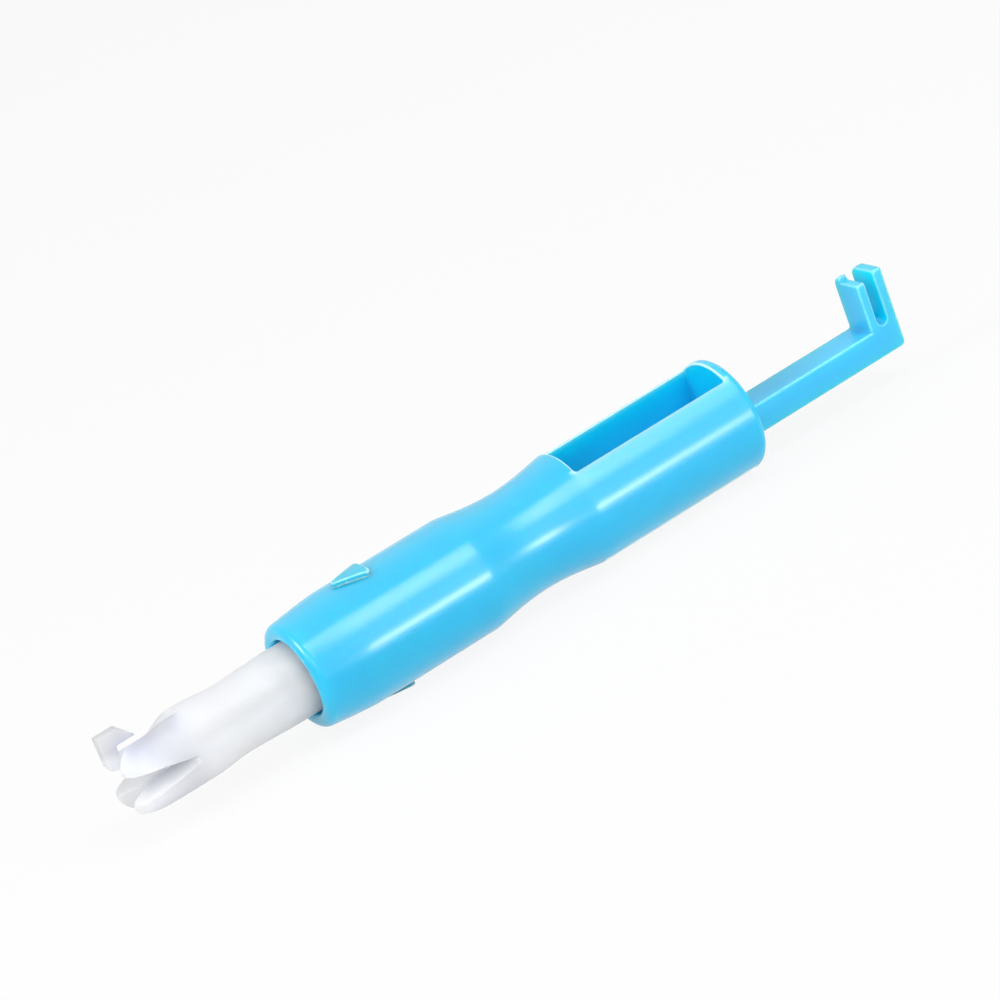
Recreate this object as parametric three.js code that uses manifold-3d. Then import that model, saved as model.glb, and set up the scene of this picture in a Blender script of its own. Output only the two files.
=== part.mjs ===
// Needle inserter and threader for a sewing machine, in millimetres.
// X runs along the tool, from the threading tip to the needle arm, and Z is up, towards the window.
// Every piece is laid out from the grip's front face at x = 0. The finished tool is centred on its length.

import * as THREE from 'three';
import { mergeVertices } from 'three/addons/utils/BufferGeometryUtils.js';
import Module from 'manifold-3d';

const wasm = await Module();
wasm.setup();

// Fits between pieces
const SEAT_GAP = 0.05;
const SLIDE_GAP = 0.25;
const STOP_GAP = 0.3;

// Grip: the swelling nose, the straight barrel and the waist
const GRIP_LENGTH = 52.9;
const GRIP_R = 6.05;
const NOSE_LENGTH = 6;
const NOSE_DROP = 0.62;
const NOSE_EASE = 1.3;
const FRONT_ROUND = 0.9;
const MOUTH_ROUND = 0.45;
const REAR_ROUND = 0.8;
const WAIST_START = 19.8;
const WAIST_LENGTH = 13.4;
const WAIST_DEPTH = 0.72;
const WAIST_EASE = 1.3;
const BORE_DEPTH = 24;

// Window let into the top of the grip, behind the waist
const WINDOW_START = 33.05;
const WINDOW_LENGTH = 18.55;
const WINDOW_WIDTH = 7.06;
const WINDOW_FLOOR_Z = 1.1;
const WINDOW_CORNER_R = 0.3;

// Raised arrow marks on the top and the underside of the nose, blunt at the tip
const MARK_TIP_X = 6.95;
const MARK_LENGTH = 3.6;
const MARK_WIDTH = 3.1;
const MARK_HEIGHT = 0.5;
const MARK_NOSE_R = 0.4;
const MARK_CORNER_R = 0.35;

// Needle arm: a bar with an upright, slotted head
const ARM_REACH = 17.15;
const ARM_ROOT = 6;
const ARM_WIDTH = 3.94;
const ARM_THICKNESS = 3;
const HEAD_HEIGHT = 5.8;
const FRONT_PRONG = 1.05;
const NEEDLE_SLOT = 1.2;
const REAR_PRONG = 1.15;
const SLOT_FLOOR_Z = 0.15;
const PRONG_CUT_DEPTH = 0.55;
const PRONG_NUB_WIDTH = 0.95;
const HEAD_CORNER_R = 0.8;
const HEAD_HEEL_R = 0.5;
const SLOT_LEAD = 0.2;

// Threader head: jaws with a V notch, a neck and a stem that slides in the bore
const HEAD_REACH = 20.05;
const JAW_R = 3.83;
const JAW_LENGTH = 8.55;
const JAW_NOSE_LENGTH = 4.5;
const JAW_NOSE_POWER = 0.136;
const JAW_TIP_R = 2;
const NECK_R = 3.55;
const NECK_X = -7.4;
const STEM_R = 3.75;
const STEM_START = -1;
const STEM_DEPTH = 9;
const NOTCH_DEPTH = 7.15;
const NOTCH_HALF_ANGLE = THREE.MathUtils.degToRad(9);
const NOTCH_ROOT_R = 0.35;
const NOTCH_LEAD = 0.45;
const SLIT_WIDTH = 0.9;
const SLIT_PAST_NOTCH = 0.8;

// Thread hook on the far upper jaw, and the thread gap under its barb
const HOOK_HEIGHT = 5;
const HOOK_THICKNESS = 1.2;
const HOOK_TOP_LENGTH = 2.35;
const HOOK_LENGTH = 3.65;
const BARB_Z = 3.5;
const THREAD_GAP = 1.1;
const THREAD_GAP_DEPTH = 2.05;
const THREAD_GAP_FLAT = 3.1;
const THREAD_RAMP = 1.3;

// Snap lugs on the stem, which stop the head at both ends of its travel
const HEAD_TRAVEL = 4;
const LUG_START = 5;
const LUG_LENGTH = 1.8;
const LUG_CREST = 0.5;
const LUG_HEIGHT = 0.65;
const LUG_WIDTH = 2;
const STEM_SLIT_WIDTH = 0.8;
const STEM_SLIT_LENGTH = 5.5;

// Pusher pin and the holder at the bottom of the bore
const PIN_R = 0.3;
const PIN_TIP_SETBACK = 0.7;
const PIN_NOTCH_DEPTH = 0.25;
const PIN_CLEARANCE = 0.3;
const FLANGE_LENGTH = 2.7;
const BOSS_R = 1.5;
const BOSS_LENGTH = 6;
const PIN_SEAT_DEPTH = 5;
const TAIL_R = 1.3;
const TAIL_LENGTH = 5.3;

// Return spring between the head and the holder's flange
const WIRE_R = 0.25;
const SPRING_R = 2.3;
const SPRING_TURNS = 10;
const SPRING_POCKET_DEPTH = 7;
const SPRING_SIDE_GAP = 0.35;
const SPRING_STEPS = 8;
const WIRE_SIDES = 5;

// Facets round the turned pieces
const GRIP_FACETS = 48;
const HEAD_FACETS = 40;
const SMALL_FACETS = 20;

// Places worked out from the sizes
const BORE_R = STEM_R + SLIDE_GAP;
const TIP_X = -HEAD_REACH;
const HEAD_START = GRIP_LENGTH + ARM_REACH;
const HEAD_END = HEAD_START + FRONT_PRONG + NEEDLE_SLOT + REAR_PRONG;
const NOTCH_X = TIP_X + NOTCH_DEPTH;
const SLIT_END = NOTCH_X + SLIT_PAST_NOTCH;
const POCKET_X = STEM_DEPTH - SPRING_POCKET_DEPTH;
const HOLDER_END = BORE_DEPTH - SEAT_GAP;
const FLANGE_X = HOLDER_END - FLANGE_LENGTH;
const BOSS_X = FLANGE_X - BOSS_LENGTH;
const ABOVE_GRIP = GRIP_R + 2;

// A closed solid from a geometry whose shared corners are merged
function solid(geometry) {
  const bare = geometry.index ? geometry.toNonIndexed() : geometry.clone();
  bare.deleteAttribute('normal');
  bare.deleteAttribute('uv');
  const merged = mergeVertices(bare, 1e-5);
  const corners = merged.index.array;
  const triVerts = [];
  for (let i = 0; i < corners.length; i += 3) {
    const [a, b, c] = corners.slice(i, i + 3);
    if (a !== b && b !== c && c !== a) triVerts.push(a, b, c);
  }
  return new wasm.Manifold(new wasm.Mesh({
    numProp: 3,
    vertProperties: new Float32Array(merged.attributes.position.array),
    triVerts: new Uint32Array(triVerts),
  }));
}

function mesh(name, body, material) {
  const { vertProperties, triVerts } = body.getMesh();
  const geometry = new THREE.BufferGeometry();
  geometry.setAttribute('position', new THREE.BufferAttribute(new Float32Array(vertProperties), 3));
  geometry.setIndex(new THREE.BufferAttribute(new Uint32Array(triVerts), 1));
  geometry.computeVertexNormals();
  const piece = new THREE.Mesh(geometry, material);
  piece.name = name;
  return piece;
}

// A solid turned about X from a profile of [x, radius] points that starts and ends on the axis.
// A flat side faces straight down, where the tool lies on a table.
function turned(profile, facets) {
  const points = profile.map(([x, radius]) => new THREE.Vector2(radius, x));
  const geometry = new THREE.LatheGeometry(points, facets, Math.PI / facets);
  geometry.rotateZ(-Math.PI / 2);
  return solid(geometry);
}

function box(x, y, z) {
  const geometry = new THREE.BoxGeometry(x[1] - x[0], y[1] - y[0], z[1] - z[0]);
  geometry.translate((x[0] + x[1]) / 2, (y[0] + y[1]) / 2, (z[0] + z[1]) / 2);
  return solid(geometry);
}

function shapeOf(points) {
  return new THREE.Shape(points.map(([a, b]) => new THREE.Vector2(a, b)));
}

// A plan shape in X and Y, raised from one height to another
function raised(shape, bottom, top) {
  const geometry = new THREE.ExtrudeGeometry(shape, {
    depth: top - bottom, bevelEnabled: false, curveSegments: 4,
  });
  geometry.translate(0, 0, bottom);
  return solid(geometry);
}

// A side shape in X and Z, carried across the tool from one y to another
function crossed(shape, from, to) {
  const geometry = new THREE.ExtrudeGeometry(shape, {
    depth: to - from, bevelEnabled: false, curveSegments: 8,
  });
  geometry.rotateX(Math.PI / 2);
  geometry.translate(0, to, 0);
  return solid(geometry);
}

// An end shape in Y and Z, carried along the tool from one x to another
function lengthwise(shape, from, to) {
  const geometry = new THREE.ExtrudeGeometry(shape, {
    depth: to - from, bevelEnabled: false, curveSegments: 5,
  });
  geometry.rotateZ(Math.PI / 2);
  geometry.rotateY(Math.PI / 2);
  geometry.translate(from, 0, 0);
  return solid(geometry);
}

// Points of a quarter arc in a turned profile, from one angle to another
function arc(x, radius, size, from, to, count = 4) {
  return Array.from({ length: count + 1 }, (_, i) => {
    const angle = THREE.MathUtils.lerp(from, to, i / count);
    return [x + size * Math.cos(angle), radius + size * Math.sin(angle)];
  });
}

function steps(from, to, count) {
  return Array.from({ length: count }, (_, i) => THREE.MathUtils.lerp(from, to, (i + 1) / count));
}

// The grip's outer radius at a distance behind its front face
function gripRadius(x) {
  const swell = Math.max(0, 1 - x / NOSE_LENGTH);
  const across = (2 * (x - WAIST_START)) / WAIST_LENGTH - 1;
  const hollow = Math.max(0, 1 - across * across);
  return GRIP_R - NOSE_DROP * swell ** NOSE_EASE - WAIST_DEPTH * hollow ** WAIST_EASE;
}

function grip() {
  const frontR = gripRadius(FRONT_ROUND) - FRONT_ROUND;
  const rearX = GRIP_LENGTH - REAR_ROUND;
  const waistEnd = WAIST_START + WAIST_LENGTH;
  const outside = turned([
    [0, 0],
    ...arc(FRONT_ROUND, frontR, FRONT_ROUND, Math.PI, Math.PI / 2),
    ...steps(FRONT_ROUND, NOSE_LENGTH, 6).map((x) => [x, gripRadius(x)]),
    [WAIST_START, gripRadius(WAIST_START)],
    ...steps(WAIST_START, waistEnd, 16).map((x) => [x, gripRadius(x)]),
    ...arc(rearX, gripRadius(rearX) - REAR_ROUND, REAR_ROUND, Math.PI / 2, 0),
    [GRIP_LENGTH, 0],
  ], GRIP_FACETS);

  const mouthR = BORE_R + MOUTH_ROUND;
  const tailR = TAIL_R + SEAT_GAP;
  const tailEnd = HOLDER_END + TAIL_LENGTH + SEAT_GAP;
  const bore = turned([
    [-1, 0],
    [-1, mouthR],
    ...arc(MOUTH_ROUND, mouthR, MOUTH_ROUND, -Math.PI, -Math.PI / 2),
    [BORE_DEPTH, BORE_R],
    [BORE_DEPTH, tailR],
    [tailEnd, tailR],
    [tailEnd, 0],
  ], GRIP_FACETS);

  return outside
    .add(arrowMarks())
    .subtract(bore)
    .subtract(lugGrooves())
    .subtract(windowRecess())
    .subtract(armSocket());
}

// Both marks at once: a collar round the barrel, kept only inside an arrow's outline
function arrowMarks() {
  const base = MARK_TIP_X + MARK_LENGTH;
  const outer = GRIP_R + MARK_HEIGHT;
  const collar = turned([[MARK_TIP_X, 0], [MARK_TIP_X, outer], [base, outer], [base, 0]], GRIP_FACETS);

  const noseX = MARK_TIP_X + MARK_NOSE_R;
  const cornerX = base - MARK_CORNER_R;
  const cornerY = MARK_WIDTH / 2 - MARK_CORNER_R;
  const reach = Math.hypot(cornerX - noseX, cornerY);
  const turn = Math.atan2(cornerY, cornerX - noseX) + Math.acos((MARK_NOSE_R - MARK_CORNER_R) / reach);
  const arrow = new THREE.Shape();
  arrow.absarc(noseX, 0, MARK_NOSE_R, turn, 2 * Math.PI - turn);
  arrow.absarc(cornerX, -cornerY, MARK_CORNER_R, 2 * Math.PI - turn, 2 * Math.PI);
  arrow.absarc(cornerX, cornerY, MARK_CORNER_R, 0, turn);
  return collar.intersect(raised(arrow, -ABOVE_GRIP, ABOVE_GRIP));
}

// Grooves inside the bore's two side walls, as long as a lug and its travel
function lugGrooves() {
  const reach = STEM_R + LUG_HEIGHT + SLIDE_GAP;
  const half = LUG_WIDTH / 2 + SLIDE_GAP;
  const start = LUG_START - STOP_GAP;
  const end = LUG_START + LUG_LENGTH + HEAD_TRAVEL + STOP_GAP;
  return box([start, end], [-reach, reach], [-half, half]);
}

function windowRecess() {
  const [x0, x1] = [WINDOW_START, WINDOW_START + WINDOW_LENGTH];
  const half = WINDOW_WIDTH / 2;
  const r = WINDOW_CORNER_R;
  const outline = new THREE.Shape();
  outline.moveTo(x0 + r, -half);
  outline.absarc(x1 - r, -half + r, r, -Math.PI / 2, 0);
  outline.absarc(x1 - r, half - r, r, 0, Math.PI / 2);
  outline.absarc(x0 + r, half - r, r, Math.PI / 2, Math.PI);
  outline.absarc(x0 + r, -half + r, r, Math.PI, 1.5 * Math.PI);
  return raised(outline, WINDOW_FLOOR_Z, ABOVE_GRIP);
}

function armSocket() {
  const start = GRIP_LENGTH - ARM_ROOT - SEAT_GAP;
  const half = ARM_WIDTH / 2 + SEAT_GAP;
  return box([start, GRIP_LENGTH + 1], [-half, half], [-ARM_THICKNESS - SEAT_GAP, SEAT_GAP]);
}

function needleArm() {
  const half = ARM_WIDTH / 2;
  const slotX = HEAD_START + FRONT_PRONG;
  const slotR = NEEDLE_SLOT / 2;
  const side = new THREE.Shape();
  side.moveTo(GRIP_LENGTH - ARM_ROOT, -ARM_THICKNESS);
  side.lineTo(HEAD_END - HEAD_HEEL_R, -ARM_THICKNESS);
  side.absarc(HEAD_END - HEAD_HEEL_R, -ARM_THICKNESS + HEAD_HEEL_R, HEAD_HEEL_R, -Math.PI / 2, 0);
  side.lineTo(HEAD_END, HEAD_HEIGHT);
  side.lineTo(HEAD_START, HEAD_HEIGHT);
  side.lineTo(HEAD_START, 0);
  side.lineTo(GRIP_LENGTH - ARM_ROOT, 0);

  const slot = new THREE.Shape();
  slot.moveTo(slotX, HEAD_HEIGHT - SLOT_LEAD);
  slot.absarc(slotX + slotR, SLOT_FLOOR_Z + slotR, slotR, Math.PI, 2 * Math.PI);
  slot.lineTo(slotX + NEEDLE_SLOT, HEAD_HEIGHT - SLOT_LEAD);
  slot.lineTo(slotX + NEEDLE_SLOT + SLOT_LEAD, HEAD_HEIGHT);
  slot.lineTo(slotX + NEEDLE_SLOT + SLOT_LEAD, HEAD_HEIGHT + 1);
  slot.lineTo(slotX - SLOT_LEAD, HEAD_HEIGHT + 1);
  slot.lineTo(slotX - SLOT_LEAD, HEAD_HEIGHT);

  const prongCut = box(
    [HEAD_START - 1, slotX + slotR],
    [-half - 1, half - PRONG_NUB_WIDTH],
    [HEAD_HEIGHT - PRONG_CUT_DEPTH, HEAD_HEIGHT + 1],
  );

  const corner = new THREE.Shape();
  corner.moveTo(half, HEAD_HEIGHT - HEAD_CORNER_R);
  corner.lineTo(half + 1, HEAD_HEIGHT - HEAD_CORNER_R);
  corner.lineTo(half + 1, HEAD_HEIGHT + 1);
  corner.lineTo(half - HEAD_CORNER_R, HEAD_HEIGHT + 1);
  corner.lineTo(half - HEAD_CORNER_R, HEAD_HEIGHT);
  corner.absarc(half - HEAD_CORNER_R, HEAD_HEIGHT - HEAD_CORNER_R, HEAD_CORNER_R, Math.PI / 2, 0, true);

  return crossed(side, -half, half)
    .subtract(crossed(slot, -half - 1, half + 1))
    .subtract(prongCut)
    .subtract(lengthwise(corner, HEAD_START - 1, HEAD_END + 1));
}

// The threader head's outer radius, from the blunt jaw tips back to the stem
function headRadius(x) {
  const ease = (from, to, start, end) => {
    const t = THREE.MathUtils.smoothstep(x, start, end);
    return THREE.MathUtils.lerp(from, to, t);
  };
  if (x < TIP_X + JAW_NOSE_LENGTH) {
    const along = (x - TIP_X) / JAW_NOSE_LENGTH;
    const round = (1 - (1 - along) ** 2) ** JAW_NOSE_POWER;
    return Math.max(JAW_TIP_R, JAW_R * round);
  }
  if (x < NECK_X) return ease(JAW_R, NECK_R, TIP_X + JAW_LENGTH, NECK_X);
  return ease(NECK_R, STEM_R, NECK_X, STEM_START);
}

function threaderHead() {
  const nose = [0.01, 0.04, 0.1, 0.22, 0.42, 0.7, 1].map((t) => TIP_X + t * JAW_NOSE_LENGTH);
  const neck = steps(TIP_X + JAW_LENGTH, NECK_X, 4);
  const taper = steps(NECK_X, STEM_START, 4);
  const body = turned([
    [TIP_X, 0],
    [TIP_X, JAW_TIP_R],
    ...[...nose, TIP_X + JAW_LENGTH, ...neck, ...taper].map((x) => [x, headRadius(x)]),
    [STEM_DEPTH, STEM_R],
    [STEM_DEPTH, 0],
  ], HEAD_FACETS);

  const slitHalf = SLIT_WIDTH / 2;
  const across = JAW_R + 2;
  const slit = box([TIP_X - 1, SLIT_END], [-slitHalf, slitHalf], [-across, across]);
  const stemSlitHalf = STEM_SLIT_WIDTH / 2;
  const stemSlit = box(
    [STEM_DEPTH - STEM_SLIT_LENGTH, STEM_DEPTH + 1],
    [-stemSlitHalf, stemSlitHalf],
    [-across, across],
  );
  const pocketR = SPRING_R + WIRE_R + SPRING_SIDE_GAP;
  const pinR = PIN_R + PIN_CLEARANCE;
  const inside = turned([
    [SLIT_END - 1, 0],
    [SLIT_END - 1, pinR],
    [POCKET_X, pinR],
    [POCKET_X, pocketR],
    [STEM_DEPTH + 1, pocketR],
    [STEM_DEPTH + 1, 0],
  ], SMALL_FACETS);

  return body
    .add(snapLugs())
    .subtract(inside)
    .subtract(stemSlit)
    .subtract(threadGap(slitHalf, across))
    .add(threadHook(slitHalf))
    .subtract(notch(across))
    .subtract(slit);
}

// The V between the upper and lower jaws, with a round root and a wider mouth
function notch(across) {
  const [sin, cos] = [Math.sin(NOTCH_HALF_ANGLE), Math.cos(NOTCH_HALF_ANGLE)];
  const rootX = NOTCH_X - NOTCH_ROOT_R;
  const [touchX, touchZ] = [rootX + NOTCH_ROOT_R * sin, NOTCH_ROOT_R * cos];
  const leadX = TIP_X + NOTCH_LEAD;
  const leadZ = touchZ + (touchX - leadX) * Math.tan(NOTCH_HALF_ANGLE);
  const mouthX = TIP_X - 1;
  const mouthZ = leadZ + (leadX - mouthX);
  const outline = new THREE.Shape();
  outline.moveTo(mouthX, -mouthZ);
  outline.lineTo(leadX, -leadZ);
  outline.lineTo(touchX, -touchZ);
  outline.absarc(rootX, 0, NOTCH_ROOT_R, NOTCH_HALF_ANGLE - Math.PI / 2, Math.PI / 2 - NOTCH_HALF_ANGLE);
  outline.lineTo(leadX, leadZ);
  outline.lineTo(mouthX, mouthZ);
  return crossed(outline, -across, across);
}

// The space under the hook's barb, open to the rear, where the thread is drawn in
function threadGap(slitHalf, across) {
  const floorZ = BARB_Z - THREAD_GAP;
  const barbX = TIP_X + HOOK_LENGTH;
  const start = barbX - THREAD_GAP_DEPTH;
  const rampX = start + THREAD_GAP_FLAT;
  const topX = rampX + THREAD_RAMP;
  return crossed(shapeOf([
    [start, floorZ], [rampX, floorZ], [topX, JAW_R], [topX, across],
    [barbX, across], [barbX, BARB_Z], [start, BARB_Z],
  ]), slitHalf, across);
}

function threadHook(slitHalf) {
  const front = TIP_X + 0.05;
  const back = TIP_X + HOOK_LENGTH - THREAD_GAP_DEPTH;
  const rootZ = NOTCH_ROOT_R;
  return crossed(shapeOf([
    [front, JAW_TIP_R], [front + JAW_TIP_R / 2, rootZ], [back, rootZ], [back, BARB_Z],
    [TIP_X + HOOK_LENGTH, BARB_Z], [TIP_X + HOOK_TOP_LENGTH, HOOK_HEIGHT], [front, HOOK_HEIGHT],
  ]), slitHalf, slitHalf + HOOK_THICKNESS);
}

// Square in front, where they stop against the grooves, and ramped behind
function snapLugs() {
  const crest = STEM_R + LUG_HEIGHT;
  const root = STEM_R - 0.4;
  const end = LUG_START + LUG_LENGTH;
  const half = LUG_WIDTH / 2;
  const near = shapeOf([
    [LUG_START, -root], [LUG_START, -crest], [LUG_START + LUG_CREST, -crest], [end, -root],
  ]);
  const far = shapeOf([
    [LUG_START, root], [end, root], [LUG_START + LUG_CREST, crest], [LUG_START, crest],
  ]);
  return raised(near, -half, half).add(raised(far, -half, half));
}

// A straight wire with a small V in its tip, which catches the thread
function pusherPin() {
  const start = SLIT_END - PIN_TIP_SETBACK + PIN_NOTCH_DEPTH;
  const end = BOSS_X + PIN_SEAT_DEPTH - SEAT_GAP;
  const wire = turned([[start, 0], [start, PIN_R], [end, PIN_R], [end, 0]], SMALL_FACETS);
  const tipNotch = shapeOf([
    [start - 1, -PIN_R - 1], [start + PIN_NOTCH_DEPTH, 0], [start - 1, PIN_R + 1],
  ]);
  return wire.subtract(crossed(tipNotch, -1, 1));
}

// Boss for the pin and the spring, a flange on the bore's floor, and a tail in the grip's core
function pinHolder() {
  const flangeR = BORE_R - SEAT_GAP;
  const pinSeatR = PIN_R + SEAT_GAP;
  const pinSeatEnd = BOSS_X + PIN_SEAT_DEPTH;
  return turned([
    [pinSeatEnd, 0],
    [pinSeatEnd, pinSeatR],
    [BOSS_X, pinSeatR],
    [BOSS_X, BOSS_R],
    [FLANGE_X, BOSS_R],
    [FLANGE_X, flangeR],
    [HOLDER_END, flangeR],
    [HOLDER_END, TAIL_R],
    [HOLDER_END + TAIL_LENGTH, TAIL_R],
    [HOLDER_END + TAIL_LENGTH, 0],
  ], 32);
}

// One unbroken wire along a helix, each ring of its section square to the wire
function returnSpring() {
  const start = POCKET_X + SEAT_GAP + WIRE_R;
  const end = FLANGE_X - SEAT_GAP - WIRE_R;
  const rings = SPRING_TURNS * SPRING_STEPS;
  const pitch = (end - start) / SPRING_TURNS;
  const centres = [];
  const positions = [];
  for (let i = 0; i <= rings; i += 1) {
    const turn = (2 * Math.PI * i) / SPRING_STEPS;
    const outward = new THREE.Vector3(0, Math.cos(turn), Math.sin(turn));
    const centre = outward.clone().multiplyScalar(SPRING_R);
    centre.x = start + (pitch * i) / SPRING_STEPS;
    const along = new THREE.Vector3(pitch, 0, 0);
    along.addScaledVector(new THREE.Vector3(0, -Math.sin(turn), Math.cos(turn)), 2 * Math.PI * SPRING_R);
    const side = new THREE.Vector3().crossVectors(along.normalize(), outward);
    centres.push(centre);
    for (let k = 0; k < WIRE_SIDES; k += 1) {
      const angle = (2 * Math.PI * k) / WIRE_SIDES;
      const point = centre.clone()
        .addScaledVector(outward, WIRE_R * Math.cos(angle))
        .addScaledVector(side, WIRE_R * Math.sin(angle));
      positions.push(...point.toArray());
    }
  }

  const corners = [];
  for (let i = 0; i < rings; i += 1) {
    for (let k = 0; k < WIRE_SIDES; k += 1) {
      const a = i * WIRE_SIDES + k;
      const b = i * WIRE_SIDES + ((k + 1) % WIRE_SIDES);
      corners.push(a, b, b + WIRE_SIDES, a, b + WIRE_SIDES, a + WIRE_SIDES);
    }
  }
  const last = rings * WIRE_SIDES;
  for (let k = 1; k < WIRE_SIDES - 1; k += 1) {
    corners.push(0, k + 1, k, last, last + k, last + k + 1);
  }

  const geometry = new THREE.BufferGeometry();
  geometry.setAttribute('position', new THREE.BufferAttribute(new Float32Array(positions), 3));
  geometry.setIndex(corners);
  console.log(`return_spring: least gap to itself ${leastGap(centres).toFixed(2)} mm`);
  return solid(geometry);
}

// The least clear distance between points of the wire that are half a turn or more apart
function leastGap(centres) {
  let least = Infinity;
  for (let i = 0; i < centres.length; i += 1) {
    for (let j = i + SPRING_STEPS / 2; j < centres.length; j += 1) {
      least = Math.min(least, centres[i].distanceTo(centres[j]));
    }
  }
  return least - 2 * WIRE_R;
}

const bluePlastic = new THREE.MeshStandardMaterial({ color: 0x4fc6f2, roughness: 0.25, metalness: 0 });
const armPlastic = new THREE.MeshStandardMaterial({ color: 0x4fc6f2, roughness: 0.3, metalness: 0 });
const milkyPlastic = new THREE.MeshStandardMaterial({ color: 0xeceef8, roughness: 0.4, metalness: 0 });
const holderPlastic = new THREE.MeshStandardMaterial({ color: 0xe4e6ea, roughness: 0.5, metalness: 0 });
const pinSteel = new THREE.MeshStandardMaterial({ color: 0xb8bcc2, roughness: 0.3, metalness: 1 });
const springSteel = new THREE.MeshStandardMaterial({ color: 0xa9adb3, roughness: 0.35, metalness: 1 });

const group = new THREE.Group();
group.add(
  mesh('grip', grip(), bluePlastic),
  mesh('needle_arm', needleArm(), armPlastic),
  mesh('threader_head', threaderHead(), milkyPlastic),
  mesh('pusher_pin', pusherPin(), pinSteel),
  mesh('pin_holder', pinHolder(), holderPlastic),
  mesh('return_spring', returnSpring(), springSteel),
);
group.position.x = -(TIP_X + HEAD_END) / 2;

export default group;
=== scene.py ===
import math

import bmesh
import bpy
from mathutils import Matrix, Vector


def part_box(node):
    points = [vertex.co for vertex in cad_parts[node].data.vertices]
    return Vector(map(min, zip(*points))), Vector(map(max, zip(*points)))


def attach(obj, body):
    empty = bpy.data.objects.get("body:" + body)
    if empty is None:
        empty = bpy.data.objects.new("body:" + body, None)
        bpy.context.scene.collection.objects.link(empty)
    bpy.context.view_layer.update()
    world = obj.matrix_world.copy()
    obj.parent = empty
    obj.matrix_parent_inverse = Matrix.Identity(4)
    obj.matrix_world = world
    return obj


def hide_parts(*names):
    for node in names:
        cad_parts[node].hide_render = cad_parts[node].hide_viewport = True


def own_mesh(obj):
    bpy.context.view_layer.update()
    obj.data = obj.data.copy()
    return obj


# Needle inserter and threader for a sewing machine: the looks of each piece, a pale floor and
# soft light. Shapes are laid out in millimetres from the grip's front face, as the solids are,
# and brought to metres last.

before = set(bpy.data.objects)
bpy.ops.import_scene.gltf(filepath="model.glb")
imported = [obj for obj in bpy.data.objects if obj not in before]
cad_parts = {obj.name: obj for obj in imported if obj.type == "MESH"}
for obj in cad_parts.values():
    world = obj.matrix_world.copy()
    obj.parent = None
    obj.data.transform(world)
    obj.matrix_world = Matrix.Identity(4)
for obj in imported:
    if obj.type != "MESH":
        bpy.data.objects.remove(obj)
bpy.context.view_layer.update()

MM = 0.001
FRONT_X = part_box("grip")[0].x

# How far a cutter runs past what it cuts, and how near two places count as the same
CUT_PAST = 1
TINY = 1e-6

# Grip: the swelling nose, the straight barrel and the waist
GRIP_LENGTH = (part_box("grip")[1].x - FRONT_X) / MM
GRIP_R = 6.05
NOSE_LENGTH = 6
NOSE_DROP = 0.62
NOSE_EASE = 1.3
FRONT_ROUND = 0.9
MOUTH_ROUND = 0.45
REAR_ROUND = 0.8
WAIST_START = 19.8
WAIST_LENGTH = 13.4
WAIST_DEPTH = 0.72
WAIST_EASE = 1.3
BORE_R = 4
BORE_DEPTH = 24
TAIL_HOLE_R = 1.35
TAIL_HOLE_END = 29.3

# Rings added to the grip's net, in the bore and just before the rear rounding
BORE_RINGS = (12, 4)
REAR_RING_GAP = 0.01

# Window in the top of the grip
WINDOW_START = 33.05
WINDOW_LENGTH = 18.55
WINDOW_WIDTH = 7.06
WINDOW_FLOOR_Z = 1.1
WINDOW_CORNER_R = 0.3
RIM_ROUND = 0.16
FLOOR_FILLET = 0.25

# Where the window's rim starts on the barrel, along it and round it, and where its corners end
WINDOW_END = WINDOW_START + WINDOW_LENGTH
RIM_X = (WINDOW_START - RIM_ROUND, WINDOW_END + RIM_ROUND)
CORNER_X = (WINDOW_START + WINDOW_CORNER_R, WINDOW_END - WINDOW_CORNER_R)
RIM_BALL_R = GRIP_R - RIM_ROUND
RIM_ANGLE = math.asin((WINDOW_WIDTH / 2 + RIM_ROUND) / RIM_BALL_R)
CORNER_ANGLE = math.asin((WINDOW_WIDTH / 2 - WINDOW_CORNER_R) / RIM_BALL_R)

# Raised arrow marks on the top and the underside of the nose
MARK_TIP_X = 6.95
MARK_LENGTH = 3.6
MARK_WIDTH = 3.1
MARK_HEIGHT = 0.5
MARK_NOSE_R = 0.4
MARK_CORNER_R = 0.35
MARK_EDGE = 0.12
MARK_FOOT = 0.1
MARK_SINK = 0.15
MARK_ROWS = 14

# Needle arm with its upright, slotted head
ARM_ROOT = 6
ARM_WIDTH = 3.94
ARM_THICKNESS = 3
ARM_SEAT_GAP = 0.05
ARM_GRAIN = 0.09
ARM_SMOOTHING = 20
HEAD_START = GRIP_LENGTH + 17.15
HEAD_END = HEAD_START + 3.4
HEAD_HEIGHT = 5.8
FRONT_PRONG = 1.05
NEEDLE_SLOT = 1.2
SLOT_FLOOR_Z = 0.15
PRONG_CUT_DEPTH = 0.55
PRONG_NUB_WIDTH = 1.1
HEAD_CORNER_R = 1.05
HEAD_HEEL_R = 0.5

# Threader head: jaws with a V notch, a neck and a stem that slides in the bore
TIP_X = -20.05
JAW_R = 3.83
JAW_LENGTH = 8.55
JAW_NOSE_LENGTH = 4.5
JAW_NOSE_POWER = 0.136
JAW_TIP_R = 2
NECK_R = 3.55
NECK_X = -7.4
STEM_R = 3.75
STEM_START = -1
STEM_END = 9
STEM_CHAMFER = 0.4
NOTCH_DEPTH = 7.15
NOTCH_HALF_ANGLE = math.radians(9)
NOTCH_ROOT_R = 0.35
NOTCH_LEAD = 0.45
SLIT_WIDTH = 0.9
SLIT_HALF = SLIT_WIDTH / 2
SLIT_END = TIP_X + NOTCH_DEPTH + 0.8
SLIT_FLARE_X = TIP_X + 1.95
SLIT_MOUTH = 3.2
POCKET_X = 2
POCKET_R = 2.9
PIN_CHANNEL_R = 0.6
STEM_SLIT_WIDTH = 0.8
STEM_SLIT_LENGTH = 5.5
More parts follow.
